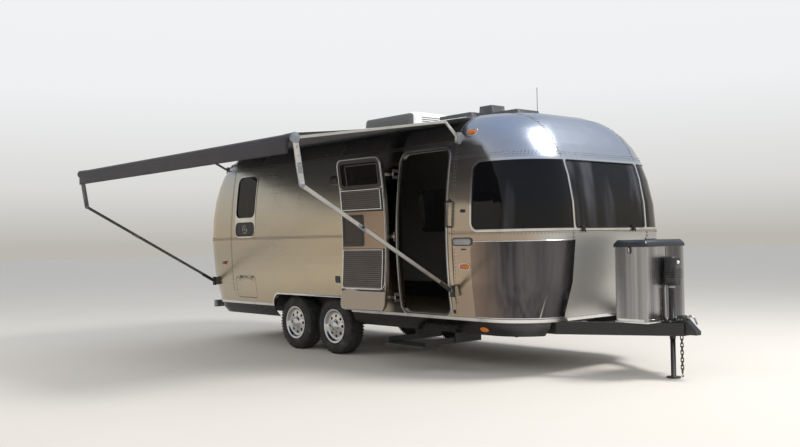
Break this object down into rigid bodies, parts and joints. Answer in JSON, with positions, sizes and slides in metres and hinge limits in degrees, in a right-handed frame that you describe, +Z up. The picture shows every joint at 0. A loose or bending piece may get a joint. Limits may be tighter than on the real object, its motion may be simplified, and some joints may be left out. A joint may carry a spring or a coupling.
{
  "type": "travel caravan",
  "caption": "Towed living caravan with a rounded, riveted aluminium body on two axles: side awning set out, entry door open, coupler, jack, folding step and stabiliser legs.",
  "frame": {"origin": "middle of the towing ball in the coupler, 450 mm above the ground", "axes": "+X forwards along the tongue, +Y to the left side, +Z up; the entry door and the awning are on the -Y side"},
  "size_m": [7.6037, 4.4763, 3.11],
  "materials": {
    "amber_lens": "gloss",
    "awning_cloth": "woven, plain",
    "black_plastic": "matt",
    "cabinet_wood": "satin lacquer",
    "chassis_paint": "satin black",
    "coupler_steel": "zinc plated",
    "floor_board": "satin",
    "red_lens": "gloss",
    "seat_fabric": "woven",
    "skin": "polished, riveted sheet",
    "trim": "satin",
    "tyre": "matt",
    "wheel_paint": "silver",
    "white_paint": "gloss",
    "white_plastic": "semi-gloss",
    "window_glass": "dark tint"
  },
  "bodies": {
    "body": {"antenna": "black_plastic", "awning_arms": "trim", "awning_fabric": "awning_cloth", "awning_rail": "trim", "awning_roller": "awning_cloth", "axles": "chassis_paint", "bumper": "trim", "cabinets": "cabinet_wood", "chassis_frame": "chassis_paint", "cooler": "white_plastic", "coupler": "coupler_steel", "cover_lid": "black_plastic", "cushions": "seat_fabric", "door_frame": "trim", "door_hinges": "trim", "doorway_panel": "skin", "floor": "floor_board", "front_cap": "skin", "front_glass": "window_glass", "gas_bottles": "white_paint", "gas_cover": "skin", "grab_handle": "black_plastic", "hatch_hinge": "trim", "jack_post": "black_plastic", "left_wall": "skin", "marker_lamps": "amber_lens", "porch_lamp": "black_plastic", "rear_cap": "skin", "right_wall": "skin", "roof_panel": "skin", "roof_vents": "white_plastic", "safety_chain": "coupler_steel", "side_glass": "window_glass", "sill_rail": "trim", "skirt": "skin", "step_housing": "chassis_paint", "stone_guards": "trim", "tail_lamps": "red_lens", "wall_fittings": "black_plastic", "wheel_wells": "chassis_paint", "window_frames": "trim"},
    "door": {"door_leaf": "skin", "door_glass": "window_glass", "screen_door": "trim"},
    "hatch": {"hatch_lid": "skin"},
    "leg": {"jack_leg": "coupler_steel"},
    "step": {"entry_step": "chassis_paint"},
    "wheel_front_right": {"tyre_front_right": "tyre", "rim_front_right": "wheel_paint"},
    "stand_front_right": {"stand_front_right": "chassis_paint"},
    "wheel_front_left": {"tyre_front_left": "tyre", "rim_front_left": "wheel_paint"},
    "stand_front_left": {"stand_front_left": "chassis_paint"},
    "wheel_rear_right": {"tyre_rear_right": "tyre", "rim_rear_right": "wheel_paint"},
    "stand_rear_right": {"stand_rear_right": "chassis_paint"},
    "wheel_rear_left": {"tyre_rear_left": "tyre", "rim_rear_left": "wheel_paint"},
    "stand_rear_left": {"stand_rear_left": "chassis_paint"}
  },
  "joints": [
    {"name": "door_hinge", "type": "hinge", "parent": "body", "child": "door", "pos_m": [-2.98, -1.242, 0.9], "axis": [0, 0, 1], "range_deg": [0, 176]},
    {"name": "hatch_hinge", "type": "hinge", "parent": "body", "child": "hatch", "pos_m": [-6.26, -1.213, 0.493], "axis": [-1, 0, 0], "range_deg": [0, 100]},
    {"name": "jack_slide", "type": "slide", "parent": "body", "child": "leg", "axis": [0, 0, 1], "range_m": [0, 0.3]},
    {"name": "step_slide", "type": "slide", "parent": "body", "child": "step", "axis": [0, 1, 0], "range_m": [0, 0.3]},
    {"name": "wheel_front_right_spin", "type": "hinge", "parent": "body", "child": "wheel_front_right", "pos_m": [-4.32, -1, -0.101], "axis": [0, 1, 0], "continuous": true},
    {"name": "stand_front_right_fold", "type": "hinge", "parent": "body", "child": "stand_front_right", "pos_m": [-1.7, -0.56, -0.065], "axis": [0, -1, 0], "range_deg": [0, 54]},
    {"name": "wheel_front_left_spin", "type": "hinge", "parent": "body", "child": "wheel_front_left", "pos_m": [-4.32, 1, -0.101], "axis": [0, 1, 0], "continuous": true},
    {"name": "stand_front_left_fold", "type": "hinge", "parent": "body", "child": "stand_front_left", "pos_m": [-1.7, 0.56, -0.065], "axis": [0, -1, 0], "range_deg": [0, 54]},
    {"name": "wheel_rear_right_spin", "type": "hinge", "parent": "body", "child": "wheel_rear_right", "pos_m": [-5.17, -1, -0.101], "axis": [0, 1, 0], "continuous": true},
    {"name": "stand_rear_right_fold", "type": "hinge", "parent": "body", "child": "stand_rear_right", "pos_m": [-7, -0.56, -0.065], "axis": [0, 1, 0], "range_deg": [0, 54]},
    {"name": "wheel_rear_left_spin", "type": "hinge", "parent": "body", "child": "wheel_rear_left", "pos_m": [-5.17, 1, -0.101], "axis": [0, 1, 0], "continuous": true},
    {"name": "stand_rear_left_fold", "type": "hinge", "parent": "body", "child": "stand_rear_left", "pos_m": [-7, 0.56, -0.065], "axis": [0, 1, 0], "range_deg": [0, 54]}
  ]
}
